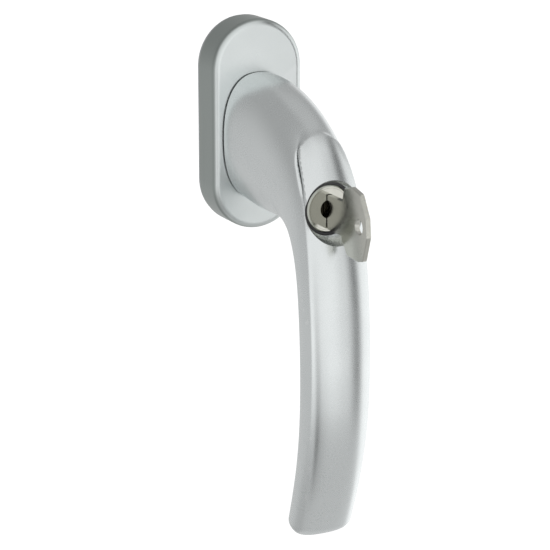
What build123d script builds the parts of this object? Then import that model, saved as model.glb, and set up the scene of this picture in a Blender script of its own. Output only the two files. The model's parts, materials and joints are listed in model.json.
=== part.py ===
from build123d import *

import os
from math import copysign, cos, radians, sin

# Lockable tilt-and-turn window handle on an oval rosette.
# Millimetres. The origin is on the spindle axis in the sash face.
# +X is to the right, +Z is up, -Y points into the room and +Y into the sash.
# The handle hangs down: closed position, key in the lock, unlocked.

os.makedirs("parts", exist_ok=True)

# ---- driving dimensions -------------------------------------------------

# rosette: stadium outlines as half width and half height
COVER_HALF_W = 15.25
COVER_HALF_H = 33.25
COVER_FRONT = 12.1
COVER_WALL = 1.4
COVER_EDGE_R = 2.0
COVER_HOLE_R = 11.3
PLATE_T = 1.2
PLATE_INSET = 0.25
PLATE_GAP = 0.1
LUG_R = 5.0
LUG_H = 3.0
SCREW_SPACING = 43.0
SCREW_R = 2.65
SCREW_HEAD_R = 4.9

# fixed housing round the spindle
HOUSING_R = 12.4
HOUSING_FRONT = 9.8
HOUSING_BORE_R = 7.3
BUSH_R = 8.0
BUSH_FLANGE_R = 11.0
BUSH_FLANGE_T = 0.8
GLIDE_FRONT = 12.55
SNAP_R = 13.3
LINER_BORE_R = 12.5
LINER_T = 1.4
COLLAR_R = 8.6
COLLAR_BORE_R = 6.4
COLLAR_FRONT = 16.8
NOTCH_HALF_W = 2.1

# detent
DISC_R = 7.0
DISC_BACK = 2.4
DISC_FRONT = 5.1
BALL_R = 1.3
BALL_GAP = 0.15
BALL_BORE_R = 1.45

# hub and spindle
SPINDLE_A = 7.0
SPINDLE_OUT = 22.0
SPINDLE_IN = 27.5
SQUARE_HALF = SPINDLE_A / 2 + 0.03
JOURNAL_R = 6.0
WASHER_T = 0.45
SLEEVE_R = 7.6
SLEEVE_STEP = 17.2
SLEEVE_FRONT = 28.0
PIN_R = 1.25
PIN_Y = 21.0
GROOVE_R = 3.0
RING_T = 0.8
RING_R = 6.2
RING_GAP = 3.6
RING_EAR_R = 1.6

# foot of the handle
FOOT_Y = 12.7
FOOT_PLATE_T = 1.1
FOOT_PLATE_HALF_W = 10.0
FOOT_PLATE_HALF_H = 17.9
FOOT_HOLE_R = 9.0
FOOT_Z = -2.9
FOOT_SCREW_X = 4.2
FOOT_SCREW_Z = 10.9
FOOT_SCREW_HEAD_R = 2.0
FOOT_SCREW_HEAD_T = 0.6
FOOT_SCREW_LENGTH = 6.5
FOOT_SCREW_R = 1.0
FOOT_SCREW_SLOT = 0.6

# lock: its axis runs along Y, below the spindle
LOCK_Z = -16.4
LOCK_FACE = 58.7
BARREL_R = 7.25
BARREL_STEP = 49.5
BARREL_REAR_R = 6.4
BARREL_BACK = 41.5
LOCK_BORE_R = 8.1
LOCK_BORE_DEPTH = 4.2
LOCK_DISH_R = 9.5
LOCK_DISH_LIFT = 6.5
BORE_RING_FRONT = 58.3
GRUB_Y = 51.3
GRUB_R = 1.45
GRUB_LENGTH = 4.0
GRUB_TIP_R = 1.2
GRUB_TIP = 0.8
GRUB_HEX = 1.5
PLUG_R = 5.0
PLUG_FLANGE_R = 6.3
PLUG_FLANGE_T = 1.5
PLUG_BACK = 42.2
PLUG_NECK_R = 3.0
PLUG_NECK_BACK = 40.2
PLUG_GROOVE_R = 2.4
PLUG_GROOVE_W = 0.7
KEYWAY_W = 2.0
KEYWAY_H = 8.9
KEYWAY_DEPTH = 12.7
KEYWAY_MOUTH_R = 2.9
KEYWAY_MOUTH_DEPTH = 2.2
CAM_THROW = 1.6
CAM_DISC_R = 3.5
CAM_DISC_BACK = 17.1
CAM_DISC_T = 2.0
CAM_ROD_R = 2.0
CAM_PIN_R = 0.9
CAM_PIN_BACK = 14.4
BOLT_FRONT = 16.85
BOLT_BACK = 14.0
BOLT_HALF_W = 4.0
BOLT_TONGUE_HALF_W = 1.9
BOLT_TOP = -8.9
BOLT_SHOULDER = -12.0
BOLT_BOTTOM = -20.2
BOLT_POCKET_TOP = -7.6
RUN = 0.05

# wafers
WAFER_COUNT = 5
WAFER_T = 0.7
WAFER_PITCH = 2.2
WAFER_R = 4.9
WAFER_HALF_W = 2.4
WAFER_FIRST = 3.4
WAFER_SPRING_R = 0.5
WAFER_SPRING_WIRE = 0.12
WAFER_SPRING_H = 3.2
WAFER_POCKET = 0.35

# ring that keeps the plug in
CLIP_R = 4.6
CLIP_T = 0.6
CLIP_GAP = 3.0

# tongue of the cam rod and its slot in the plug
TONGUE_T = 1.5
TONGUE_H = 3.1
TONGUE_PLAY = 0.05

# key
KEY_T = 1.6
KEY_BLADE_H = 8.4
KEY_CUT = 0.9
KEY_EDGE = 0.25
KEY_TIP = 46.6
KEY_SHOULDER = 59.2
KEY_BOW_Y = 67.6
KEY_BOW_END = 83.0
KEY_HOLE_R = 2.1
KEY_HOLE = (-78.1, -17.4)
KEY_SHOULDER_Z = -17.2
KEY_SHOULDER_H = 10.4

# handle casting: stations along its length, in the YZ plane.
# Each has the outer (front or top) point, the inner (back or under) point,
# the half width, and how square the oval section is (2 is an ellipse).
HANDLE_STATIONS = [
    ((-FOOT_Y, 16.9), (-FOOT_Y, -23.2), 12.3, 2.4),
    ((-20.0, 16.7), (-20.0, -24.0), 11.9, 2.5),
    ((-32.0, 14.1), (-31.0, -24.1), 11.5, 2.6),
    ((-42.5, 9.6), (-39.5, -24.4), 11.3, 2.5),
    ((-50.0, 4.4), (-44.6, -26.0), 11.2, 2.45),
    ((-57.0, -3.4), (-48.8, -28.8), 11.1, 2.45),
    ((-61.8, -13.0), (-52.0, -33.0), 11.1, 2.45),
    ((-65.0, -24.5), (-54.4, -38.5), 11.1, 2.5),
    ((-67.5, -40.5), (-56.4, -49.5), 11.1, 2.6),
    ((-69.0, -63.0), (-57.1, -66.0), 11.0, 2.6),
    ((-67.6, -88.0), (-55.6, -88.0), 10.7, 2.6),
    ((-64.2, -104.0), (-52.6, -102.0), 10.5, 2.6),
    ((-59.6, -117.5), (-48.6, -114.5), 10.2, 2.6),
]
TIP_R = 4.0
# angles at which the eight arcs of a section meet, and the tip rounding's steps
ARC_ENDS = [radians(a) for a in (22, 68, 112, 158, 202, 248, 292, 338, 382)]
TIP_ANGLES = [radians(a) for a in (40, 75)]


# ---- helpers --------------------------------------------------------------

def facing(depth):
    """Sketch plane at y = -depth, drawn as seen from the room, extruding into the room."""
    return Plane(origin=(0, -depth, 0), x_dir=(1, 0, 0), z_dir=(0, -1, 0))


def stadium(half_w, half_h):
    """Upright stadium: straight sides with full round ends."""
    SlotOverall(2 * half_h, 2 * half_w, rotation=90)


def ring(back, front, outer_r, inner_r):
    """Ring round the spindle axis between two depths."""
    with BuildSketch(facing(back)) as profile:
        Circle(outer_r)
        Circle(inner_r, mode=Mode.SUBTRACT)
    extrude(profile.sketch, amount=front - back)


def cylinder(back, front, radius, mode=Mode.ADD, x=0.0, z=0.0):
    """Cylinder along Y between two depths, at x and z."""
    with BuildSketch(facing(back)) as profile:
        with Locations((x, z)):
            Circle(radius)
    extrude(profile.sketch, amount=front - back, mode=mode)


def block(back, front, x0, x1, z0, z1, mode=Mode.ADD):
    """Rectangular block between two depths."""
    with BuildSketch(facing(back)) as profile:
        with Locations(((x0 + x1) / 2, (z0 + z1) / 2)):
            Rectangle(x1 - x0, z1 - z0)
    extrude(profile.sketch, amount=front - back, mode=mode)


def coil(radius, wire_r, length, turns):
    """Compression spring along its own Z axis, from z = 0."""
    height = length - 2 * wire_r
    path = Helix(height / turns, height, radius, center=(0, 0, wire_r))
    with BuildPart() as wire:
        with BuildSketch(Plane(origin=path @ 0, z_dir=path % 0)):
            Circle(wire_r)
        sweep(path=path, is_frenet=True)
    return wire.part


def save(part, label):
    part.label = label
    export_step(part, f"parts/{label}.step")


# ---- rosette: fixed to the sash --------------------------------------------

screw_places = [(0, SCREW_SPACING / 2), (0, -SCREW_SPACING / 2)]
ball_y = (DISC_BACK + DISC_FRONT) / 2
ball_r_at = DISC_R + BALL_GAP + BALL_R

# zinc base plate with the round housing and the two locating lugs behind
with BuildPart() as base_plate:
    with BuildSketch(facing(0)):
        stadium(COVER_HALF_W - PLATE_INSET, COVER_HALF_H - PLATE_INSET)
    extrude(amount=PLATE_T)
    cylinder(PLATE_T, HOUSING_FRONT, HOUSING_R)
    with BuildSketch(facing(0)):
        with Locations(*screw_places):
            Circle(LUG_R)
    extrude(amount=-LUG_H)
    cylinder(-LUG_H, HOUSING_FRONT, HOUSING_BORE_R, Mode.SUBTRACT)
    cylinder(DISC_FRONT + WASHER_T, HOUSING_FRONT, BUSH_R, Mode.SUBTRACT)
    with BuildSketch(facing(-LUG_H)):
        with Locations(*screw_places):
            Circle(SCREW_R)
    extrude(amount=LUG_H + PLATE_T, mode=Mode.SUBTRACT)
    head_depth = SCREW_HEAD_R - SCREW_R
    for x, z in screw_places:
        with Locations(Pos(x, -PLATE_T + head_depth / 2, z) * Rot(X=90)):
            Cone(SCREW_R, SCREW_HEAD_R, head_depth, mode=Mode.SUBTRACT)
    with Locations(Pos(0, -ball_y, 0) * Rot(Y=90)):
        Cylinder(BALL_BORE_R, 2 * HOUSING_R + 2, mode=Mode.SUBTRACT)
save(base_plate.part, "base_plate")

# flanged plastic bush that carries the hub
with BuildPart() as bearing_bush:
    ring(DISC_FRONT + WASHER_T, HOUSING_FRONT, BUSH_R, JOURNAL_R + RUN)
    ring(HOUSING_FRONT, HOUSING_FRONT + BUSH_FLANGE_T, BUSH_FLANGE_R, JOURNAL_R + RUN)
save(bearing_bush.part, "bearing_bush")

flange_front = HOUSING_FRONT + BUSH_FLANGE_T

# plastic ring that the foot of the handle glides on
with BuildPart() as glide_ring:
    ring(flange_front, GLIDE_FRONT, BUSH_FLANGE_R, COLLAR_R + RUN)
    fillet(glide_ring.edges().filter_by(GeomType.CIRCLE).group_by(Axis.Y)[0], 0.25)
save(glide_ring.part, "glide_ring")

# plastic ring that keeps the cover on and closes the detent bores
with BuildPart() as snap_ring:
    ring(DISC_BACK + 0.2, DISC_FRONT - 0.2, SNAP_R, HOUSING_R)
    chamfer(snap_ring.edges().filter_by(GeomType.CIRCLE).group_by(SortBy.RADIUS)[-1], 0.35)
save(snap_ring.part, "snap_ring")

# hard steel collar; the lock bolt enters its notches when closed and when tilted
with BuildPart() as lock_collar:
    ring(flange_front, COLLAR_FRONT, COLLAR_R, COLLAR_BORE_R)
    block(
        BOLT_BACK - 0.3, COLLAR_FRONT, -NOTCH_HALF_W, NOTCH_HALF_W,
        -COLLAR_R - 1, COLLAR_R + 1, Mode.SUBTRACT,
    )
save(lock_collar.part, "lock_collar")

# two detent balls, drawn pushed back clear of the disc
with BuildPart() as detent_balls:
    with Locations((ball_r_at, -ball_y, 0), (-ball_r_at, -ball_y, 0)):
        Sphere(BALL_R)
save(detent_balls.part, "detent_balls")

# the springs behind the balls
spring_from = ball_r_at + BALL_R
detent_coil = coil(1.0, 0.2, HOUSING_R - spring_from, 4)
with BuildPart() as detent_springs:
    with Locations(Pos(spring_from, -ball_y, 0) * Rot(Y=90)):
        add(detent_coil)
    with Locations(Pos(-spring_from, -ball_y, 0) * Rot(Y=-90)):
        add(detent_coil)
save(detent_springs.part, "detent_springs")


# ---- cover: turns aside to reach the fixing screws --------------------------

cover_back = PLATE_T + PLATE_GAP
cover_inside = flange_front

with BuildPart() as rosette_cover:
    with BuildSketch(facing(cover_back)):
        stadium(COVER_HALF_W, COVER_HALF_H)
    extrude(amount=COVER_FRONT - cover_back)
    fillet(rosette_cover.faces().sort_by(Axis.Y)[0].edges(), COVER_EDGE_R)
    with BuildSketch(facing(cover_back)):
        stadium(COVER_HALF_W - COVER_WALL, COVER_HALF_H - COVER_WALL)
    extrude(amount=cover_inside - cover_back, mode=Mode.SUBTRACT)
    cylinder(cover_back, COVER_FRONT, COVER_HOLE_R, Mode.SUBTRACT)
save(rosette_cover.part, "rosette_cover")

# plastic liner that centres the cover on the housing
with BuildPart() as cover_liner:
    with BuildSketch(facing(cover_inside - LINER_T)):
        stadium(COVER_HALF_W - COVER_WALL - 0.1, COVER_HALF_H - COVER_WALL - 0.1)
        Circle(LINER_BORE_R, mode=Mode.SUBTRACT)
    extrude(amount=LINER_T)
save(cover_liner.part, "cover_liner")


# ---- handle: casting, hub, spindle -------------------------------------------

def oval_point(half_w, half_h, square, angle):
    """Point of a superellipse."""
    c = cos(angle)
    s = sin(angle)
    x = half_w * copysign(abs(c) ** (2 / square), c)
    y = half_h * copysign(abs(s) ** (2 / square), s)
    return (x, y)


def handle_section(front, back, half_w, square, shrink=0.0, shift=0.0):
    """One section of the casting: an oval of eight arcs across the front and back points."""
    up = (Vector(0, *front) - Vector(0, *back)) * 0.5
    middle = (Vector(0, *front) + Vector(0, *back)) * 0.5
    along = Vector(1, 0, 0).cross(up.normalized())
    size = (half_w - shrink, up.length - shrink, square)
    with BuildSketch(Plane(origin=middle + along * shift, x_dir=(1, 0, 0), z_dir=along)) as section:
        with BuildLine():
            for start, end in zip(ARC_ENDS, ARC_ENDS[1:]):
                ThreePointArc(
                    oval_point(*size, start),
                    oval_point(*size, (start + end) / 2),
                    oval_point(*size, end),
                )
        make_face()
    return section.sketch


foot_recess = FOOT_Y + FOOT_PLATE_T

sections = [handle_section(*station) for station in HANDLE_STATIONS]
for angle in TIP_ANGLES:
    shrink = TIP_R * (1 - cos(angle))
    sections.append(handle_section(*HANDLE_STATIONS[-1], shrink, TIP_R * sin(angle)))

with BuildPart() as handle_grip:
    loft(sections)
    # recess for the foot plate, room for the collar, and the hub bore
    with BuildSketch(facing(FOOT_Y)):
        with Locations((0, FOOT_Z)):
            stadium(FOOT_PLATE_HALF_W + 0.1, FOOT_PLATE_HALF_H + 0.1)
    extrude(amount=FOOT_PLATE_T, mode=Mode.SUBTRACT)
    cylinder(foot_recess, SLEEVE_STEP, FOOT_HOLE_R, Mode.SUBTRACT)
    cylinder(SLEEVE_STEP, SLEEVE_FRONT, SLEEVE_R + RUN, Mode.SUBTRACT)
    for x in (FOOT_SCREW_X, -FOOT_SCREW_X):
        cylinder(
            foot_recess, foot_recess + FOOT_SCREW_LENGTH, FOOT_SCREW_R,
            Mode.SUBTRACT, x, FOOT_SCREW_Z,
        )
    # bolt pocket, cam bore and rod bore
    block(
        foot_recess, BOLT_FRONT + 0.15, -BOLT_HALF_W - 0.3, BOLT_HALF_W + 0.3,
        BOLT_BOTTOM - 0.3, BOLT_POCKET_TOP, Mode.SUBTRACT,
    )
    cylinder(
        BOLT_FRONT, CAM_DISC_BACK + CAM_DISC_T + 0.1, CAM_DISC_R + RUN,
        Mode.SUBTRACT, z=LOCK_Z,
    )
    cylinder(BOLT_FRONT, LOCK_FACE, CAM_ROD_R + 0.3, Mode.SUBTRACT, z=LOCK_Z)
    # stepped bore for the lock barrel, with a dish round its mouth
    cylinder(PLUG_NECK_BACK - 0.2, LOCK_FACE, BARREL_REAR_R + RUN, Mode.SUBTRACT, z=LOCK_Z)
    cylinder(BARREL_STEP, LOCK_FACE, BARREL_R + RUN, Mode.SUBTRACT, z=LOCK_Z)
    cylinder(LOCK_FACE - LOCK_BORE_DEPTH, LOCK_FACE + 20, LOCK_BORE_R, Mode.SUBTRACT, z=LOCK_Z)
    with Locations(Pos(0, -LOCK_FACE - LOCK_DISH_LIFT / 2, LOCK_Z) * Rot(X=90)):
        Cone(LOCK_BORE_R, LOCK_DISH_R, LOCK_DISH_LIFT, mode=Mode.SUBTRACT)
    # grub screw hole from below
    with Locations((0, -GRUB_Y, LOCK_Z - BARREL_R + GRUB_TIP / 2)):
        Cylinder(
            GRUB_R + RUN, 20, mode=Mode.SUBTRACT,
            align=(Align.CENTER, Align.CENTER, Align.MAX),
        )
save(handle_grip.part, "handle_grip")

# steel hub sleeve with the square hole
with BuildPart() as hub_sleeve:
    cylinder(DISC_FRONT + WASHER_T, SLEEVE_STEP, JOURNAL_R)
    cylinder(SLEEVE_STEP, SLEEVE_FRONT, SLEEVE_R)
    block(
        DISC_FRONT, SLEEVE_FRONT, -SQUARE_HALF, SQUARE_HALF,
        -SQUARE_HALF, SQUARE_HALF, Mode.SUBTRACT,
    )
    with Locations(Pos(0, -PIN_Y, 0) * Rot(Y=90)):
        Cylinder(PIN_R + 0.02, 2 * SLEEVE_R + 2, mode=Mode.SUBTRACT)
    chamfer(hub_sleeve.faces().sort_by(Axis.Y)[0].edges().filter_by(GeomType.CIRCLE), 0.3)
save(hub_sleeve.part, "hub_sleeve")

# square spindle, grooved for the retaining ring
with BuildPart() as square_spindle:
    with BuildSketch(facing(-SPINDLE_OUT)):
        Rectangle(SPINDLE_A, SPINDLE_A)
    extrude(amount=SPINDLE_OUT + SPINDLE_IN)
    chamfer(square_spindle.faces().sort_by(Axis.Y)[-1].edges(), 0.8)
    with BuildSketch(facing(DISC_BACK - RING_T)):
        Rectangle(SPINDLE_A + 1, SPINDLE_A + 1)
        Circle(GROOVE_R, mode=Mode.SUBTRACT)
    extrude(amount=RING_T, mode=Mode.SUBTRACT)
    with Locations(Pos(0, -PIN_Y, 0) * Rot(Y=90)):
        Cylinder(PIN_R + 0.02, SPINDLE_A + 2, mode=Mode.SUBTRACT)
save(square_spindle.part, "square_spindle")

# cross pin through sleeve and spindle
with BuildPart() as spindle_pin:
    with Locations(Pos(0, -PIN_Y, 0) * Rot(Y=90)):
        Cylinder(PIN_R, 2 * SLEEVE_R - 0.4)
    chamfer(spindle_pin.edges().filter_by(GeomType.CIRCLE), 0.25)
save(spindle_pin.part, "spindle_pin")

# detent disc with four notches, a quarter turn apart
with BuildPart() as detent_disc:
    cylinder(DISC_BACK, DISC_FRONT, DISC_R)
    block(
        DISC_BACK, DISC_FRONT, -SQUARE_HALF, SQUARE_HALF,
        -SQUARE_HALF, SQUARE_HALF, Mode.SUBTRACT,
    )
    with BuildSketch(facing(DISC_BACK)):
        with PolarLocations(DISC_R + 0.9, 4):
            Circle(BALL_R + 0.2)
    extrude(amount=DISC_FRONT - DISC_BACK, mode=Mode.SUBTRACT)
save(detent_disc.part, "detent_disc")

with BuildPart() as thrust_washer:
    ring(DISC_FRONT, DISC_FRONT + WASHER_T, DISC_R, SPINDLE_A / 2 * 2**0.5 + 0.1)
save(thrust_washer.part, "thrust_washer")

# open ring snapped into the spindle groove behind the detent disc
with BuildPart() as retaining_ring:
    with BuildSketch(facing(DISC_BACK - RING_T)):
        Circle(RING_R)
        Circle(GROOVE_R + 0.03, mode=Mode.SUBTRACT)
        with Locations((0, -RING_R)):
            Rectangle(RING_GAP, 2 * RING_R - 2, mode=Mode.SUBTRACT)
        with PolarLocations(RING_R, 2, start_angle=30, angular_range=240):
            Circle(RING_EAR_R, mode=Mode.SUBTRACT)
    extrude(amount=RING_T)
save(retaining_ring.part, "retaining_ring")

screw_back = FOOT_Y + 0.1
screw_seat = screw_back + FOOT_SCREW_HEAD_T

# plate that closes the foot and keeps the bolt in
with BuildPart() as foot_plate:
    with BuildSketch(facing(FOOT_Y)):
        with Locations((0, FOOT_Z)):
            stadium(FOOT_PLATE_HALF_W, FOOT_PLATE_HALF_H)
        Circle(FOOT_HOLE_R, mode=Mode.SUBTRACT)
    extrude(amount=FOOT_PLATE_T)
    for x in (FOOT_SCREW_X, -FOOT_SCREW_X):
        cylinder(FOOT_Y, foot_recess, FOOT_SCREW_R + 0.1, Mode.SUBTRACT, x, FOOT_SCREW_Z)
        cylinder(FOOT_Y, screw_seat, FOOT_SCREW_HEAD_R + 0.1, Mode.SUBTRACT, x, FOOT_SCREW_Z)
save(foot_plate.part, "foot_plate")

with BuildPart() as foot_plate_screws:
    for x in (FOOT_SCREW_X, -FOOT_SCREW_X):
        cylinder(screw_back, screw_seat, FOOT_SCREW_HEAD_R, Mode.ADD, x, FOOT_SCREW_Z)
        cylinder(
            screw_seat, foot_recess + FOOT_SCREW_LENGTH - 0.2, FOOT_SCREW_R,
            Mode.ADD, x, FOOT_SCREW_Z,
        )
        block(
            screw_back, screw_back + FOOT_SCREW_HEAD_T / 2, x - 1.5, x + 1.5,
            FOOT_SCREW_Z - FOOT_SCREW_SLOT / 2, FOOT_SCREW_Z + FOOT_SCREW_SLOT / 2, Mode.SUBTRACT,
        )
save(foot_plate_screws.part, "foot_plate_screws")


# ---- lock ------------------------------------------------------------------

with BuildPart() as lock_barrel:
    cylinder(BARREL_BACK, BARREL_STEP, BARREL_REAR_R, z=LOCK_Z)
    cylinder(BARREL_STEP, LOCK_FACE, BARREL_R, z=LOCK_Z)
    chamfer(lock_barrel.faces().sort_by(Axis.Y)[0].edges(), 0.5)
    cylinder(PLUG_BACK - 0.1, LOCK_FACE, PLUG_R + RUN, Mode.SUBTRACT, z=LOCK_Z)
    cylinder(
        LOCK_FACE - PLUG_FLANGE_T - RUN, LOCK_FACE, PLUG_FLANGE_R + RUN,
        Mode.SUBTRACT, z=LOCK_Z,
    )
    cylinder(BARREL_BACK, LOCK_FACE, PLUG_NECK_R + RUN, Mode.SUBTRACT, z=LOCK_Z)
    with Locations((0, -GRUB_Y, LOCK_Z - BARREL_R)):
        Cylinder(GRUB_TIP_R + 0.1, 2 * GRUB_TIP, mode=Mode.SUBTRACT)
save(lock_barrel.part, "lock_barrel")

# black ring that fills the gap between the barrel and the bore
with BuildPart() as bore_ring:
    with BuildSketch(facing(LOCK_FACE - LOCK_BORE_DEPTH + RUN)):
        with Locations((0, LOCK_Z)):
            Circle(LOCK_BORE_R - RUN)
            Circle(BARREL_R + RUN, mode=Mode.SUBTRACT)
    extrude(amount=BORE_RING_FRONT - LOCK_FACE + LOCK_BORE_DEPTH - RUN)
save(bore_ring.part, "bore_ring")

# grub screw that holds the barrel, from below
grub_top = LOCK_Z - BARREL_R - GRUB_TIP / 4
with BuildPart() as barrel_grub_screw:
    with Locations((0, -GRUB_Y, grub_top - GRUB_LENGTH / 2)):
        Cylinder(GRUB_R, GRUB_LENGTH)
    with Locations((0, -GRUB_Y, grub_top + GRUB_TIP / 2)):
        Cylinder(GRUB_TIP_R, GRUB_TIP)
    with BuildSketch(Plane.XY.offset(grub_top - GRUB_LENGTH)):
        with Locations((0, -GRUB_Y)):
            RegularPolygon(GRUB_HEX / 2, 6, major_radius=False)
    extrude(amount=GRUB_HEX, mode=Mode.SUBTRACT)
save(barrel_grub_screw.part, "barrel_grub_screw")

wafer_depths = [LOCK_FACE - WAFER_FIRST - k * WAFER_PITCH for k in range(WAFER_COUNT)]

# plug with keyway, wafer slots, spring pockets and the neck for clip and cam rod
with BuildPart() as lock_plug:
    cylinder(PLUG_BACK, LOCK_FACE - PLUG_FLANGE_T, PLUG_R, z=LOCK_Z)
    cylinder(LOCK_FACE - PLUG_FLANGE_T, LOCK_FACE, PLUG_FLANGE_R, z=LOCK_Z)
    cylinder(PLUG_NECK_BACK, PLUG_BACK, PLUG_NECK_R, z=LOCK_Z)
    block(
        LOCK_FACE - KEYWAY_DEPTH, LOCK_FACE, -KEYWAY_W / 2, KEYWAY_W / 2,
        LOCK_Z - KEYWAY_H / 2, LOCK_Z + KEYWAY_H / 2, Mode.SUBTRACT,
    )
    cylinder(
        LOCK_FACE - KEYWAY_MOUTH_DEPTH, LOCK_FACE, KEYWAY_MOUTH_R,
        Mode.SUBTRACT, z=LOCK_Z,
    )
    for depth in wafer_depths:
        block(
            depth - RUN, depth + WAFER_T + RUN, -WAFER_HALF_W - RUN, WAFER_HALF_W + RUN,
            LOCK_Z - PLUG_R, LOCK_Z + PLUG_R, Mode.SUBTRACT,
        )
        block(
            depth - WAFER_POCKET, depth + WAFER_T + WAFER_POCKET,
            WAFER_HALF_W, WAFER_HALF_W + 3 * WAFER_SPRING_R,
            LOCK_Z - WAFER_SPRING_H / 2 - 0.1, LOCK_Z + WAFER_SPRING_H / 2 + 0.1, Mode.SUBTRACT,
        )
    with BuildSketch(facing(BARREL_BACK - RUN - PLUG_GROOVE_W)):
        with Locations((0, LOCK_Z)):
            Circle(PLUG_NECK_R + 1)
            Circle(PLUG_GROOVE_R, mode=Mode.SUBTRACT)
    extrude(amount=PLUG_GROOVE_W, mode=Mode.SUBTRACT)
    block(
        PLUG_NECK_BACK, PLUG_BACK, -TONGUE_T / 2 - TONGUE_PLAY, TONGUE_T / 2 + TONGUE_PLAY,
        LOCK_Z - TONGUE_H / 2 - TONGUE_PLAY, LOCK_Z + TONGUE_H / 2 + TONGUE_PLAY, Mode.SUBTRACT,
    )
save(lock_plug.part, "lock_plug")

# five wafers, each with a window for the blade
with BuildPart() as wafer_tumblers:
    for depth in wafer_depths:
        with BuildSketch(facing(depth)):
            with Locations((0, LOCK_Z)):
                Circle(WAFER_R)
                Rectangle(2 * WAFER_HALF_W, 2 * WAFER_R, mode=Mode.INTERSECT)
                Rectangle(KEYWAY_W, KEYWAY_H - 0.2, mode=Mode.SUBTRACT)
        extrude(amount=WAFER_T)
save(wafer_tumblers.part, "wafer_tumblers")

wafer_coil = coil(WAFER_SPRING_R, WAFER_SPRING_WIRE, WAFER_SPRING_H, 4)
with BuildPart() as wafer_springs:
    for depth in wafer_depths:
        with Locations(
            (WAFER_HALF_W + 1.5 * WAFER_SPRING_R, -depth - WAFER_T / 2, LOCK_Z - WAFER_SPRING_H / 2)
        ):
            add(wafer_coil)
save(wafer_springs.part, "wafer_springs")

with BuildPart() as plug_clip:
    with BuildSketch(facing(BARREL_BACK - 2 * RUN - CLIP_T)):
        with Locations((0, LOCK_Z)):
            Circle(CLIP_R)
            Circle(PLUG_GROOVE_R + RUN, mode=Mode.SUBTRACT)
        with Locations((0, LOCK_Z - CLIP_R)):
            Rectangle(CLIP_GAP, CLIP_R, mode=Mode.SUBTRACT)
    extrude(amount=CLIP_T)
save(plug_clip.part, "plug_clip")

# cam rod: tongue into the plug, rod through the neck, disc with an eccentric pin
pin_x = -CAM_THROW * sin(radians(45))
pin_z = LOCK_Z - CAM_THROW * cos(radians(45))
with BuildPart() as cam_rod:
    block(
        PLUG_NECK_BACK, PLUG_BACK - 0.2, -TONGUE_T / 2, TONGUE_T / 2,
        LOCK_Z - TONGUE_H / 2, LOCK_Z + TONGUE_H / 2,
    )
    cylinder(CAM_DISC_BACK + CAM_DISC_T, PLUG_NECK_BACK, CAM_ROD_R, z=LOCK_Z)
    cylinder(CAM_DISC_BACK, CAM_DISC_BACK + CAM_DISC_T, CAM_DISC_R, z=LOCK_Z)
    cylinder(CAM_PIN_BACK, CAM_DISC_BACK, CAM_PIN_R, x=pin_x, z=pin_z)
save(cam_rod.part, "cam_rod")

# bolt: slides up into the collar notch, driven by the cam pin in its cross slot
slot_half = CAM_PIN_R + 0.15
with BuildPart() as lock_bolt:
    block(BOLT_BACK, BOLT_FRONT, -BOLT_HALF_W, BOLT_HALF_W, BOLT_BOTTOM, BOLT_SHOULDER)
    block(
        BOLT_BACK, BOLT_FRONT, -BOLT_TONGUE_HALF_W, BOLT_TONGUE_HALF_W,
        BOLT_SHOULDER, BOLT_TOP,
    )
    block(
        BOLT_BACK, BOLT_FRONT, -CAM_THROW - CAM_PIN_R - 0.3, 0.3,
        pin_z - slot_half, pin_z + slot_half, Mode.SUBTRACT,
    )
save(lock_bolt.part, "lock_bolt")

# ---- key -------------------------------------------------------------------

half_t = KEY_T / 2
key_bow_outline = [
    (-KEY_BOW_Y, -13.0),
    (-68.9, -7.8),
    (-73.4, -6.5),
    (-78.6, -7.6),
    (-KEY_BOW_END + 0.6, -14.0),
    (-KEY_BOW_END, -19.6),
    (-80.6, -27.2),
    (-77.4, -28.0),
    (-71.0, -27.6),
    (-KEY_BOW_Y, -23.4),
]
cut_places = [(-depth - WAFER_T / 2, LOCK_Z + KEY_BLADE_H / 2) for depth in wafer_depths]
shoulder_length = KEY_BOW_Y - KEY_SHOULDER
with BuildPart() as key:
    with BuildSketch(Plane.YZ.offset(-half_t)):
        with BuildLine():
            Polyline(*key_bow_outline, close=True)
        make_face()
        fillet(vertices(), 1.2)
        with Locations(KEY_HOLE):
            Circle(KEY_HOLE_R, mode=Mode.SUBTRACT)
    extrude(amount=KEY_T)
    chamfer(key.edges().filter_by(Plane.YZ), KEY_EDGE)
    # shoulder in front of the lock face, and the cut blade
    with BuildSketch(Plane.YZ.offset(-half_t)):
        with Locations((-KEY_SHOULDER - shoulder_length / 2 - 0.3, KEY_SHOULDER_Z)):
            Rectangle(shoulder_length + 0.6, KEY_SHOULDER_H)
        with Locations((-(KEY_TIP + KEY_SHOULDER) / 2, LOCK_Z)):
            Rectangle(KEY_SHOULDER - KEY_TIP, KEY_BLADE_H)
        with Locations(*cut_places):
            RegularPolygon(KEY_CUT, 4, mode=Mode.SUBTRACT)
    extrude(amount=KEY_T)
save(key.part, "key")
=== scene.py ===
import json
from math import cos, pi, radians, sin

import bmesh
import bpy
import numpy as np
from mathutils import Matrix, Vector


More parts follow.
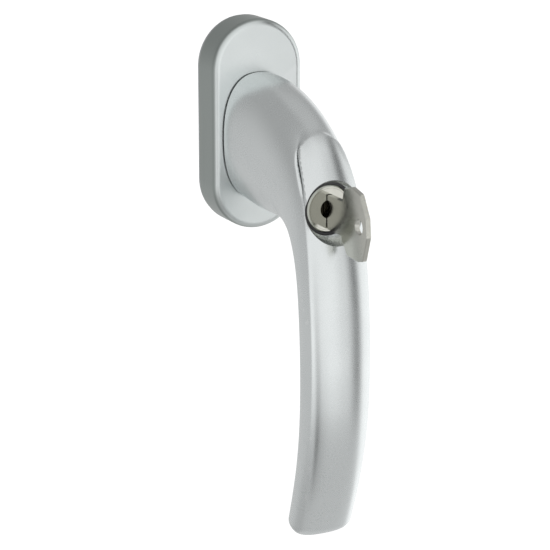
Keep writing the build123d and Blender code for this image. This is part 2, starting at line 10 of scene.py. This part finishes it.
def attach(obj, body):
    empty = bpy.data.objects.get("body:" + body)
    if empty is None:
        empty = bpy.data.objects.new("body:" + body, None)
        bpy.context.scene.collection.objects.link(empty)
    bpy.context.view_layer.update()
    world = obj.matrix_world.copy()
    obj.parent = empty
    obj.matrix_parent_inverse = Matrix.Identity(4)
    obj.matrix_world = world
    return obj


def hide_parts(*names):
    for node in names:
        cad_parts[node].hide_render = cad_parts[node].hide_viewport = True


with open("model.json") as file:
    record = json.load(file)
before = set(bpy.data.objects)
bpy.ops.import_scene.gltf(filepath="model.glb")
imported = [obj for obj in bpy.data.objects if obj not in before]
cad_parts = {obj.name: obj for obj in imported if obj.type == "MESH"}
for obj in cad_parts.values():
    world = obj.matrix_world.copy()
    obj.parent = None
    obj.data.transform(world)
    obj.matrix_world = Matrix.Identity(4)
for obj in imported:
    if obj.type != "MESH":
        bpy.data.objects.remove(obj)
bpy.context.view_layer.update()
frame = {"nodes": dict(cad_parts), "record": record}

# Lockable tilt-and-turn window handle. Shapes are worked out in millimetres
# in the frame of the CAD (+X right, +Z up, -Y into the room) and built in metres.

MM = 0.001

# ---- camera ---------------------------------------------------------------------

AZIMUTH, ELEVATION = radians(-27), radians(16)
DISTANCE = 0.700
AIM_RIGHT, AIM_UP = 0.01061, -0.04973
LENS = 144.7

back = Vector((sin(AZIMUTH) * cos(ELEVATION), -cos(AZIMUTH) * cos(ELEVATION), sin(ELEVATION)))
right = Vector((cos(AZIMUTH), sin(AZIMUTH), 0.0))
up = back.cross(right)
camera = bpy.data.objects.new("camera", bpy.data.cameras.new("camera"))
camera.data.lens = LENS
camera.data.sensor_width = 36.0
camera.data.clip_start = 0.01
camera.data.clip_end = 50.0
camera.matrix_world = Matrix(
    (
        (right.x, up.x, back.x, 0.0),
        (right.y, up.y, back.y, 0.0),
        (right.z, up.z, back.z, 0.0),
        (0.0, 0.0, 0.0, 1.0),
    )
)
camera.location = back * DISTANCE + right * AIM_RIGHT + up * AIM_UP
bpy.context.collection.objects.link(camera)
bpy.context.scene.camera = camera


# ---- materials --------------------------------------------------------------------

NOISE_LOW, NOISE_HIGH = 0.3, 0.7              # part of a noise's range that is used
# painted shade in creases: Pointiness where a crease is fully shaded, and where a plain face has none
CREASE_SHADE_FULL, CREASE_SHADE_NONE = 0.456, 0.484     # Pointiness in a crease and on a plain face
# painted shade on sides: the normal's Y where a face has none, and where it is fully shaded
SIDE_SHADE_NONE, SIDE_SHADE_FULL = -1.0, -0.45            # Y of the normal on the front and on a side
DEEP_SHADE_BLEND = 0.0006
WEAR_AMOUNT = 0.6


def mapped(tree, source, low, high, to_low, to_high):
    """Map Range of a socket."""
    node = tree.nodes.new("ShaderNodeMapRange")
    node.inputs["From Min"].default_value = low
    node.inputs["From Max"].default_value = high
    node.inputs["To Min"].default_value = to_low
    node.inputs["To Max"].default_value = to_high
    tree.links.new(source, node.inputs["Value"])
    return node.outputs["Result"]


def noise(tree, coords, scale, detail=3.0, rough=0.55, stretch=(1, 1, 1)):
    """Noise in object space, in cycles per metre."""
    source = coords
    if stretch != (1, 1, 1):
        mapping = tree.nodes.new("ShaderNodeMapping")
        mapping.inputs["Scale"].default_value = stretch
        tree.links.new(coords, mapping.inputs["Vector"])
        source = mapping.outputs["Vector"]
    node = tree.nodes.new("ShaderNodeTexNoise")
    node.inputs["Scale"].default_value = scale
    node.inputs["Detail"].default_value = detail
    node.inputs["Roughness"].default_value = rough
    tree.links.new(source, node.inputs["Vector"])
    return node.outputs["Fac"]


def mixed(tree, factor, a, b):
    """Colour mix of two colours or sockets."""
    node = tree.nodes.new("ShaderNodeMix")
    node.data_type = "RGBA"
    tree.links.new(factor, node.inputs["Factor"])
    for value, name in ((a, "A"), (b, "B")):
        socket = [s for s in node.inputs if s.name == name and s.type == "RGBA"][0]
        if isinstance(value, tuple):
            socket.default_value = value
        else:
            tree.links.new(value, socket)
    return [s for s in node.outputs if s.type == "RGBA"][0]


def finish_and_painted_shade(
    name, colour, variation, worn, metallic, rough, rough_spread,
    cloud=60.0, grain=4500.0, bump=0.25, depth=0.00002, stretch=(1, 1, 1), wear=(0.52, 0.60),
    painted_side_shade=None, inner=None, painted_crease_shade=None,
):
    """Procedural finish: cloudy colour, fine grain in roughness and bump, paler worn edges.

    A crease colour, if given, is painted shade: creases darken towards it by Pointiness. A side colour,
    if given, is painted shade: faces that look across Y darken towards it.
    inner = (y, colour) darkens what lies deeper than that y, inside a bore or keyway, towards the colour:
    grease there and painted shade.
    """
    material = bpy.data.materials.new(name)
    material.use_nodes = True
    tree = material.node_tree
    shader = tree.nodes["Principled BSDF"]
    coords = tree.nodes.new("ShaderNodeTexCoord").outputs["Object"]
    clouds = noise(tree, coords, cloud, 4.0)
    fine = noise(tree, coords, grain, 3.0, 0.6, stretch)
    cloudy = mapped(tree, clouds, NOISE_LOW, NOISE_HIGH, 0.0, 1.0)
    tint = mixed(tree, cloudy, (*colour, 1.0), (*variation, 1.0))
    geometry = tree.nodes.new("ShaderNodeNewGeometry")
    edge = mapped(tree, geometry.outputs["Pointiness"], wear[0], wear[1], 0.0, WEAR_AMOUNT)
    base = mixed(tree, edge, tint, (*worn, 1.0))
    # painted shade: creases darken towards the crease colour
    if painted_crease_shade:
        crease_shade_mask = mapped(tree, geometry.outputs["Pointiness"], CREASE_SHADE_FULL, CREASE_SHADE_NONE, 1.0, 0.0)
        base = mixed(tree, crease_shade_mask, base, (*painted_crease_shade, 1.0))
    # painted shade: faces turned away from the front darken towards the side colour
    if painted_side_shade:
        split = tree.nodes.new("ShaderNodeSeparateXYZ")
        tree.links.new(geometry.outputs["Normal"], split.inputs[0])
        sideways = mapped(tree, split.outputs["Y"], SIDE_SHADE_NONE, SIDE_SHADE_FULL, 0.0, 1.0)
        base = mixed(tree, sideways, base, (*painted_side_shade, 1.0))
    # grease and painted shade: what lies deeper than the given y darkens towards the inner colour
    if inner:
        split = tree.nodes.new("ShaderNodeSeparateXYZ")
        tree.links.new(coords, split.inputs[0])
        deep_shade_mask = mapped(tree, split.outputs["Y"], inner[0], inner[0] + DEEP_SHADE_BLEND, 0.0, 1.0)
        base = mixed(tree, deep_shade_mask, base, (*inner[1], 1.0))
    tree.links.new(base, shader.inputs["Base Color"])
    shader.inputs["Metallic"].default_value = metallic
    add = tree.nodes.new("ShaderNodeMath")
    add.operation = "ADD"
    half = rough_spread / 2
    broad = mapped(tree, clouds, NOISE_LOW, NOISE_HIGH, rough - half, rough + half)
    tree.links.new(broad, add.inputs[0])
    tree.links.new(mapped(tree, fine, NOISE_LOW, NOISE_HIGH, -half, half), add.inputs[1])
    tree.links.new(add.outputs[0], shader.inputs["Roughness"])
    bumps = tree.nodes.new("ShaderNodeBump")
    bumps.inputs["Strength"].default_value = bump
    bumps.inputs["Distance"].default_value = depth
    tree.links.new(fine, bumps.inputs["Height"])
    tree.links.new(bumps.outputs["Normal"], shader.inputs["Normal"])
    return material


# the near-black crease colour is painted shade in the creases of the casting
aluminium = finish_and_painted_shade(
    "satin_aluminium", (0.755, 0.785, 0.785), (0.73, 0.76, 0.762), (0.84, 0.86, 0.86), 1.0, 0.27, 0.04,
    bump=0.07, painted_crease_shade=(0.10, 0.105, 0.105),
)
# the dark side colour is painted shade on the cover's sides and the rounding of its edge
cover_aluminium = finish_and_painted_shade(
    "cover_aluminium", (0.76, 0.80, 0.795), (0.74, 0.78, 0.775), (0.80, 0.83, 0.83), 1.0, 0.31, 0.05,
    painted_side_shade=(0.35, 0.385, 0.37),
)
nickel = finish_and_painted_shade(
    "satin_nickel", (0.53, 0.535, 0.485), (0.50, 0.505, 0.455), (0.70, 0.69, 0.65), 1.0, 0.19, 0.06,
    cloud=400.0, grain=3000.0, stretch=(1, 1, 0.25),
)
# the near-black inner colour is grease and painted shade inside the lock, just behind its face
lock_nickel = finish_and_painted_shade(
    "lock_nickel", (0.58, 0.58, 0.52), (0.55, 0.55, 0.495), (0.61, 0.61, 0.555), 1.0, 0.13, 0.05,
    cloud=400.0, grain=3000.0, stretch=(1, 1, 0.25), inner=(-0.0584, (0.03, 0.028, 0.02)),
)
zinc = finish_and_painted_shade(
    "zinc_casting", (0.52, 0.54, 0.55), (0.44, 0.46, 0.47), (0.68, 0.69, 0.70), 1.0, 0.50, 0.15,
    cloud=220.0, grain=2200.0, bump=0.5, depth=0.00005,
)
steel = finish_and_painted_shade(
    "machined_steel", (0.60, 0.61, 0.62), (0.52, 0.53, 0.55), (0.78, 0.79, 0.80), 1.0, 0.34, 0.14,
    cloud=300.0, grain=2600.0, stretch=(1, 0.12, 1),
)
bright_steel = finish_and_painted_shade(
    "bright_steel", (0.72, 0.73, 0.74), (0.66, 0.67, 0.69), (0.86, 0.87, 0.88), 1.0, 0.18, 0.08,
    cloud=400.0, grain=3500.0,
)
brass = finish_and_painted_shade(
    "stamped_brass", (0.74, 0.58, 0.29), (0.66, 0.50, 0.24), (0.88, 0.74, 0.44), 1.0, 0.30, 0.14,
    cloud=500.0, grain=3500.0,
)
acetal = finish_and_painted_shade(
    "moulded_acetal", (0.012, 0.012, 0.013), (0.018, 0.018, 0.019), (0.05, 0.05, 0.052), 0.0, 0.52, 0.14,
    cloud=250.0, grain=2600.0, bump=0.5, depth=0.00004,
)
material_of_slot = {
    "satin_aluminium": aluminium,
    "zinc": zinc,
    "steel": steel,
    "polished_steel": bright_steel,
    "nickel": nickel,
    "brass": brass,
    "acetal": acetal,
}
material_of_node = {
    "rosette_cover": cover_aluminium, "lock_plug": lock_nickel, "lock_barrel": lock_nickel,
}
slot_of_node = {row["node"]: row["material_slot"] for row in frame["record"]["subparts"]}
for node, obj in frame["nodes"].items():
    if obj.type != "MESH":
        continue
    obj.data.materials.clear()
    obj.data.materials.append(material_of_node.get(node, material_of_slot[slot_of_node[node]]))


# ---- mesh helpers -------------------------------------------------------------------

def make_object(name, vertices, faces, smooth_angle=40.0):
    """Mesh object from millimetre points, with smooth shading up to an angle."""
    mesh = bpy.data.meshes.new(name)
    mesh.from_pydata((np.asarray(vertices, dtype=float) * MM).tolist(), [], faces)
    bm = bmesh.new()
    bm.from_mesh(mesh)
    bmesh.ops.recalc_face_normals(bm, faces=bm.faces)
    bm.to_mesh(mesh)
    bm.free()
    obj = bpy.data.objects.new(name, mesh)
    bpy.context.collection.objects.link(obj)
    set_smooth(obj, smooth_angle)
    return obj


def set_smooth(obj, angle):
    """Smooth faces, with edges sharper than the angle marked sharp."""
    mesh = obj.data
    mesh.polygons.foreach_set("use_smooth", [True] * len(mesh.polygons))
    bm = bmesh.new()
    bm.from_mesh(mesh)
    for edge in bm.edges:
        edge.smooth = not (len(edge.link_faces) == 2 and edge.calc_face_angle(0.0) > radians(angle))
    bm.to_mesh(mesh)
    bm.free()


def lathe(name, profile, centre_z=0.0, steps=96):
    """Closed solid turned about an axis along Y, from (depth, radius) points end to end."""
    vertices, faces = [], []
    for depth, radius in profile:
        for k in range(steps):
            a = 2 * pi * k / steps
            vertices.append((radius * cos(a), -depth, centre_z + radius * sin(a)))
    for j in range(len(profile) - 1):
        for k in range(steps):
            n = (k + 1) % steps
            faces.append((j * steps + k, j * steps + n, (j + 1) * steps + n, (j + 1) * steps + k))
    faces.append(tuple(range(steps))[::-1])
    faces.append(tuple(range((len(profile) - 1) * steps, len(profile) * steps)))
    return make_object(name, vertices, faces)


def prism(name, outline, back_depth, front_depth):
    """Closed prism along Y from an (x, z) outline."""
    count = len(outline)
    vertices = [(x, -back_depth, z) for x, z in outline] + [(x, -front_depth, z) for x, z in outline]
    faces = [tuple(range(count)), tuple(range(count, 2 * count))[::-1]]
    for k in range(count):
        n = (k + 1) % count
        faces.append((k, count + k, count + n, n))
    return make_object(name, vertices, faces)


def apply_modifiers(obj):
    """Bakes the modifiers into the mesh."""
    graph = bpy.context.evaluated_depsgraph_get()
    mesh = bpy.data.meshes.new_from_object(obj.evaluated_get(graph))
    obj.modifiers.clear()
    obj.data = mesh


def cut(obj, cutters, smooth_angle=35.0):
    """Subtracts the cutters and deletes them."""
    for cutter in cutters:
        modifier = obj.modifiers.new("cut", "BOOLEAN")
        modifier.operation = "DIFFERENCE"
        modifier.solver = "EXACT"
        modifier.object = cutter
    apply_modifiers(obj)
    for cutter in cutters:
        bpy.data.objects.remove(cutter)
    set_smooth(obj, smooth_angle)


def place(obj, body, slot, material, *nodes):
    """Rides, replaces and gives the material. The slot is not used."""
    obj.data.materials.clear()
    obj.data.materials.append(material)
    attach(obj, body)
    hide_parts(*nodes)


# ---- handle casting -------------------------------------------------------------------

# stations along the casting: outer (y, z), inner (y, z), half width, squareness
STATIONS = [
    ((-12.7, 16.9), (-12.7, -23.2), 12.3, 2.4),
    ((-20.0, 16.7), (-20.0, -24.0), 11.9, 2.5),
    ((-32.0, 14.1), (-31.0, -24.1), 11.5, 2.6),
    ((-42.5, 9.6), (-39.5, -24.4), 11.3, 2.5),
    ((-50.0, 4.4), (-44.6, -26.0), 11.2, 2.45),
    ((-57.0, -3.4), (-48.8, -28.8), 11.1, 2.45),
    ((-61.8, -13.0), (-52.0, -33.0), 11.1, 2.45),
    ((-65.0, -24.5), (-54.4, -38.5), 11.1, 2.5),
    ((-67.5, -40.5), (-56.4, -49.5), 11.1, 2.6),
    ((-69.0, -63.0), (-57.1, -66.0), 11.0, 2.6),
    ((-67.6, -88.0), (-55.6, -88.0), 10.7, 2.6),
    ((-64.2, -104.0), (-52.6, -102.0), 10.5, 2.6),
    ((-59.6, -117.5), (-48.6, -114.5), 10.2, 2.6),
]
TIP_R = 4.0
TIP_STEPS = 12
RINGS = 400
HALF_RING = 130
SECTION_SAMPLES = 1441
SMOOTH_PASSES = 4
PROBE_RING = 100          # a ring whose front middle looks into the room

LOCK_Z = -16.4

# raised band down the middle of the grip, with lengths measured along its front from BAND_TOP
BAND_TOP = (-50.0, 4.4)
BAND_START = -1.0
BAND_CAP = 5.0
BAND_RISE = 0.85
BAND_FLAT = 0.35
BAND_WALL = 0.4
CREASE = 0.6
CREASE_OFF = 0.35
CREASE_W = 0.42
CREASE_SPAN = (1.5, 6.5, 9, 18)
WALL_SPAN = (-6.0, 1.0, 14, 30)
CAP_SOFTNESS = 4.0
CAP_SPAN = (-1.5, 2.5)
BAND_LENGTHS = (-1, 1, 3, 6, 10, 16, 30, 60)
BAND_HALF_WIDTHS = (5.2, 6.0, 6.8, 7.5, 7.9, 8.3, 8.6, 8.6)

# low plateau down the front of the grip, whose edge is the fine line on each side
RIDGE = 0.30
RIDGE_SPAN = (14, 28, 85, 112)
RIDGE_LENGTHS = (15, 45, 90)
RIDGE_HALF_WIDTHS = (9.3, 9.9, 9.8)
RIDGE_INSIDE, RIDGE_OUTSIDE = 0.2, 1.0


def cubic(knots, values, at):
    """Natural cubic spline through the values, read at the given parameters."""
    count = len(knots)
    step = np.diff(knots)
    matrix = np.eye(count)
    right_side = np.zeros(values.shape)
    for k in range(1, count - 1):
        matrix[k, k - 1] = step[k - 1]
        matrix[k, k] = 2 * (step[k - 1] + step[k])
        matrix[k, k + 1] = step[k]
        after = (values[k + 1] - values[k]) / step[k]
        before = (values[k] - values[k - 1]) / step[k - 1]
        right_side[k] = 6 * (after - before)
    bend = np.linalg.solve(matrix, right_side)
    k = np.clip(np.searchsorted(knots, at) - 1, 0, count - 2)
    h = step[k][:, None]
    a = (knots[k + 1] - at)[:, None] / h
    b = 1 - a
    bent = (a**3 - a) * bend[k] + (b**3 - b) * bend[k + 1]
    return a * values[k] + b * values[k + 1] + bent * h * h / 6


def smoothstep(low, high, value):
    """0 below low, 1 above high and smooth between them."""
    t = np.clip((value - low) / (high - low), 0.0, 1.0)
    return t * t * (3 - 2 * t)


def half_profile(w, h, square):
    """Right half of a section from the front middle to the back middle, evenly spaced: (x, up)."""
    angle = np.linspace(pi / 2, -pi / 2, SECTION_SAMPLES)
    c, s = np.cos(angle), np.sin(angle)
    line = np.column_stack((w * np.abs(c) ** (2 / square), h * np.sign(s) * np.abs(s) ** (2 / square)))
    length = np.concatenate(([0], np.cumsum(np.hypot(*np.diff(line, axis=0).T))))
    even = np.linspace(0, length[-1], HALF_RING + 1)
    return np.column_stack([np.interp(even, length, line[:, k]) for k in (0, 1)])


def casting():
    """Outer skin as a grid (ring, point round it, xyz), and each ring's length past BAND_TOP."""
    table = np.array([(*front, *rear, w, square) for front, rear, w, square in STATIONS])
    middle = (table[:, 0:2] + table[:, 2:4]) / 2
    knots = np.concatenate(([0], np.cumsum(np.hypot(*np.diff(middle, axis=0).T))))
    at = np.linspace(0, knots[-1], RINGS)
    rows = cubic(knots, table, at)
    shrink = [0.0] * RINGS
    shift = [0.0] * RINGS
    for k in range(1, TIP_STEPS + 1):
        angle = pi / 2 * k / TIP_STEPS
        shrink.append(TIP_R * (1 - cos(angle)))
        shift.append(TIP_R * sin(angle))
    rows = np.vstack((rows, np.repeat(rows[-1:], TIP_STEPS, axis=0)))
    front_length = np.concatenate(([0], np.cumsum(np.hypot(*np.diff(rows[:, 0:2], axis=0).T))))
    top = front_length[np.argmin(np.hypot(rows[:, 0] - BAND_TOP[0], rows[:, 1] - BAND_TOP[1]))]
    grid, along = [], []
    for row, less, on, length in zip(rows, shrink, shift, front_length):
        front, rear, w = row[0:2], row[2:4], row[4] - less
        direction = (front - rear) / np.hypot(*(front - rear))
        centre = (front + rear) / 2
        h = np.hypot(*(front - rear)) / 2 - less
        ahead = np.array((-direction[1], direction[0]))
        half = half_profile(w, h, row[5])
        ring = np.vstack((half, (half[1:-1] * (-1, 1))[::-1]))
        for _ in range(SMOOTH_PASSES):
            ring = (np.roll(ring, 1, axis=0) + 2 * ring + np.roll(ring, -1, axis=0)) / 4
        places = centre[None, :] + ring[:, 1:2] * direction[None, :] + on * ahead[None, :]
        grid.append(np.column_stack((ring[:, 0], places)))
        along.append(length - top)
    return np.array(grid), np.array(along)


grid, along = casting()
# outward normals of the skin
down = np.gradient(grid, axis=0)
round_ = (np.roll(grid, -1, axis=1) - np.roll(grid, 1, axis=1)) / 2
normal = np.cross(down, round_)
normal /= np.linalg.norm(normal, axis=2, keepdims=True) + 1e-12
if normal[PROBE_RING, 0, 1] > 0:
    normal = -normal
# the band is raised inside its outline, and a crease runs just outside the outline
x = grid[:, :, 0]
s = along[:, None] + 0 * x
half_band = np.interp(s, BAND_LENGTHS, BAND_HALF_WIDTHS)
cap = np.clip((BAND_CAP + BAND_START - s) / BAND_CAP, 0, None)
reach = np.sqrt((x / half_band) ** 2 + cap**2)
cap_radius = BAND_CAP + (half_band - BAND_CAP) * np.abs(x) / half_band
off = (reach - 1) * np.where(cap > 0, cap_radius, half_band)
front_side = smoothstep(-0.35, 0.15, -normal[:, :, 1] + 0.4 * normal[:, :, 2])
# above the lock the band stands on a steep wall, and lower down it is wider and only just raised
wall = smoothstep(*WALL_SPAN[:2], s) * (1 - smoothstep(*WALL_SPAN[2:], s))
slope = BAND_WALL * (1 + CAP_SOFTNESS * (1 - smoothstep(*CAP_SPAN, s)))
inside = 1 - smoothstep(-slope, slope, off)
cleft = CREASE * np.exp(-(((off - CREASE_OFF) / CREASE_W) ** 2))
cleft = cleft * smoothstep(*CREASE_SPAN[:2], s) * (1 - smoothstep(*CREASE_SPAN[2:], s))
raised = (BAND_RISE + BAND_FLAT * (x / half_band) ** 2) * inside - cleft
edges = smoothstep(*RIDGE_SPAN[:2], s) * (1 - smoothstep(*RIDGE_SPAN[2:], s))
ridge_x = np.interp(s, RIDGE_LENGTHS, RIDGE_HALF_WIDTHS)
ridge = RIDGE * (1 - smoothstep(ridge_x - RIDGE_INSIDE, ridge_x + RIDGE_OUTSIDE, np.abs(x)))
grid = grid + normal * (front_side * (wall * raised + edges * ridge))[:, :, None]
rings, around = grid.shape[:2]
faces = []
for j in range(rings - 1):
    for k in range(around):
        n = (k + 1) % around
        faces.append((j * around + k, j * around + n, (j + 1) * around + n, (j + 1) * around + k))
faces.append(tuple(range(around))[::-1])
faces.append(tuple(range((rings - 1) * around, rings * around)))
handle = make_object("handle_casting", grid.reshape(-1, 3), faces)


def stadium_outline(half_w, half_h, centre_z, steps=24):
    """Upright stadium as (x, z) points."""
    points = []
    for sign in (1, -1):
        for k in range(steps + 1):
            a = pi * k / steps
            points.append((sign * half_w * cos(a), centre_z + sign * (half_h - half_w + half_w * sin(a))))
    return points


# recesses of the casting: foot plate, hub, bolt pocket, lock bore and grub screw
LOCK_FACE = 58.7
BORE_R = 8.1
DISH_FLARE, DISH_REACH, DISH_TAPER = 1.3, 1.6, 0.06
DISH_DEPTHS = (0, 0.3, 0.6, 1, 1.5, 2, 3, 4, 6, 9)
SCREW_R = 1.55
SCREW_FROM, SCREW_TO = 21.0, 38.0
SCREW_Y = -51.3

hub = lathe("hub_cut", [(12.0, 9.0), (17.2, 9.0), (17.2, 7.65), (28.0, 7.65)])
plate = prism("plate_cut", stadium_outline(10.1, 18.0, -2.9), 12.0, 13.8)
pocket = prism("pocket_cut", [(-4.3, -20.5), (4.3, -20.5), (4.3, -7.6), (-4.3, -7.6)], 13.0, 17.0)
# the dish round the lock flares out from the mouth of the bore, then stands steeper
dish = [
    (LOCK_FACE + d, BORE_R + DISH_FLARE * (1 - np.exp(-d / DISH_REACH)) + DISH_TAPER * d)
    for d in DISH_DEPTHS
]
lock_profile = [
    (16.8, 3.55), (19.2, 3.55), (19.2, 2.3), (40.0, 2.3), (40.0, 6.45), (49.5, 6.45),
    (49.5, 7.3), (54.5, 7.3), (54.5, BORE_R), *dish,
]
lock_cut = lathe("lock_cut", lock_profile, LOCK_Z, 144)
# hole for the grub screw, from below
screw_cut = lathe("screw_cut", [(SCREW_FROM, SCREW_R), (SCREW_TO, SCREW_R)], steps=32)
upright = Matrix.Rotation(pi / 2, 4, "X")
screw_cut.data.transform(Matrix.Translation((0.0, SCREW_Y * MM, 0.0)) @ upright)
cut(handle, [plate, hub, pocket, lock_cut, screw_cut])
place(handle, "handle", "satin_aluminium", aluminium, "handle_grip")


# ---- light, floor, background ----------------------------------------------------------

FLOOR_Z = -450.0
FLOOR_HALF = 6000.0
floor = make_object(
    "floor",
    [(-FLOOR_HALF, -FLOOR_HALF, FLOOR_Z), (FLOOR_HALF, -FLOOR_HALF, FLOOR_Z),
     (FLOOR_HALF, FLOOR_HALF, FLOOR_Z), (-FLOOR_HALF, FLOOR_HALF, FLOOR_Z)],
    [(0, 1, 2, 3)],
)
floor_material = bpy.data.materials.new("floor")
floor_material.use_nodes = True
floor_shader = floor_material.node_tree.nodes["Principled BSDF"]
floor_shader.inputs["Base Color"].default_value = (0.9, 0.9, 0.9, 1.0)
floor_shader.inputs["Roughness"].default_value = 0.9
floor_shader.inputs["Specular IOR Level"].default_value = 0.0
floor_shader.inputs["Emission Color"].default_value = (1.0, 1.0, 1.0, 1.0)
floor_shader.inputs["Emission Strength"].default_value = 0.55
floor.data.materials.append(floor_material)
floor.visible_glossy = False

# soft boxes of the studio, as lobes of the sky: bearing from straight in front
# (degrees, positive to the right), half width, soft edge, lowest and highest
# elevation, strength
UP_LEVEL, DOWN_LEVEL = 0.44, 0.68
LOBES = [
    (116, 26, 12, -45, 20, 0.55),
    (-110, 55, 30, -75, -30, -0.18),
    (-27, 8, 12, -46, -6, -0.40),
    (-14, 12, 30, -50, -8, -0.12),
    (0, 60, 30, -70, -27, -0.08),
    (105, 55, 40, 46, 78, 0.12),
]
# upright soft boxes in front, and the dark gap between them: from and to in the
# direction's X, soft edge, the direction's Y where it begins, lowest and highest
# elevation, strength
STRIPS = [
    (-0.88, 0.55, 0.05, -0.2, -25, 78, 0.50),
    (-0.88, 0.55, 0.05, -0.2, 38, 90, -0.14),
    (0.53, 0.71, 0.06, 0.0, -26, 52, -0.60),
    (0.77, 1.50, 0.06, 0.0, -45, 52, 0.55),
]


# how gradually a light ends below, above (degrees) and towards the back (the direction's Y)
SOFT_BELOW, SOFT_ABOVE, SOFT_BACK = 10, 12, 0.1


def math_node(tree, operation, a, b=None):
    """Math node of one or two numbers or sockets."""
    node = tree.nodes.new("ShaderNodeMath")
    node.operation = operation
    for value, socket in ((a, node.inputs[0]), (b, node.inputs[1])):
        if value is None:
            continue
        if isinstance(value, (int, float)):
            socket.default_value = value
        else:
            tree.links.new(value, socket)
    return node.outputs[0]


def soft_range(tree, value, low, high, to_low=0.0, to_high=1.0):
    """Map Range of a socket with smooth ends."""
    result = mapped(tree, value, low, high, to_low, to_high)
    result.node.interpolation_type = "SMOOTHSTEP"
    return result


def add_light(tree, total, height, sideways, lowest, highest, strength):
    """Adds one light of the given extent to the sky's strength."""
    low_from, low_to = sin(radians(lowest - SOFT_BELOW)), sin(radians(lowest + SOFT_BELOW))
    high_from, high_to = sin(radians(highest + SOFT_ABOVE)), sin(radians(highest - SOFT_ABOVE))
    below = soft_range(tree, height, low_from, low_to)
    above = soft_range(tree, height, high_from, high_to)
    extent = math_node(tree, "MULTIPLY", math_node(tree, "MULTIPLY", sideways, below), above)
    return math_node(tree, "ADD", total, math_node(tree, "MULTIPLY", extent, strength))


world = bpy.data.worlds.new("studio")
world.use_nodes = True
tree = world.node_tree
direction = tree.nodes.new("ShaderNodeTexCoord").outputs["Generated"]
split = tree.nodes.new("ShaderNodeSeparateXYZ")
tree.links.new(direction, split.inputs[0])
flat = tree.nodes.new("ShaderNodeVectorMath")
flat.operation = "MULTIPLY"
flat.inputs[1].default_value = (1.0, 1.0, 0.0)
tree.links.new(direction, flat.inputs[0])
level = tree.nodes.new("ShaderNodeVectorMath")
level.operation = "NORMALIZE"
tree.links.new(flat.outputs[0], level.inputs[0])
height = split.outputs["Z"]
total = soft_range(tree, height, -0.5, 0.5, DOWN_LEVEL, UP_LEVEL)
for bearing, half, edge, lowest, highest, strength in LOBES:
    dot = tree.nodes.new("ShaderNodeVectorMath")
    dot.operation = "DOT_PRODUCT"
    dot.inputs[1].default_value = (sin(radians(bearing)), -cos(radians(bearing)), 0.0)
    tree.links.new(level.outputs[0], dot.inputs[0])
    outer, inner = cos(radians(half + edge / 2)), cos(radians(half - edge / 2))
    sideways = soft_range(tree, dot.outputs["Value"], outer, inner)
    total = add_light(tree, total, height, sideways, lowest, highest, strength)
for start, end, edge, begins, lowest, highest, strength in STRIPS:
    from_left = soft_range(tree, split.outputs["X"], start - edge, start + edge)
    from_right = soft_range(tree, split.outputs["X"], end + edge, end - edge)
    in_front = soft_range(tree, split.outputs["Y"], begins + SOFT_BACK, begins - SOFT_BACK)
    across = math_node(tree, "MULTIPLY", from_left, from_right)
    sideways = math_node(tree, "MULTIPLY", across, in_front)
    total = add_light(tree, total, height, sideways, lowest, highest, strength)
camera_ray = tree.nodes.new("ShaderNodeLightPath").outputs["Is Camera Ray"]
tree.links.new(math_node(tree, "MAXIMUM", total, camera_ray), tree.nodes["Background"].inputs["Strength"])
tree.nodes["Background"].inputs["Color"].default_value = (1.0, 1.0, 1.0, 1.0)
bpy.context.scene.world = world
bpy.context.scene.view_settings.view_transform = "Standard"
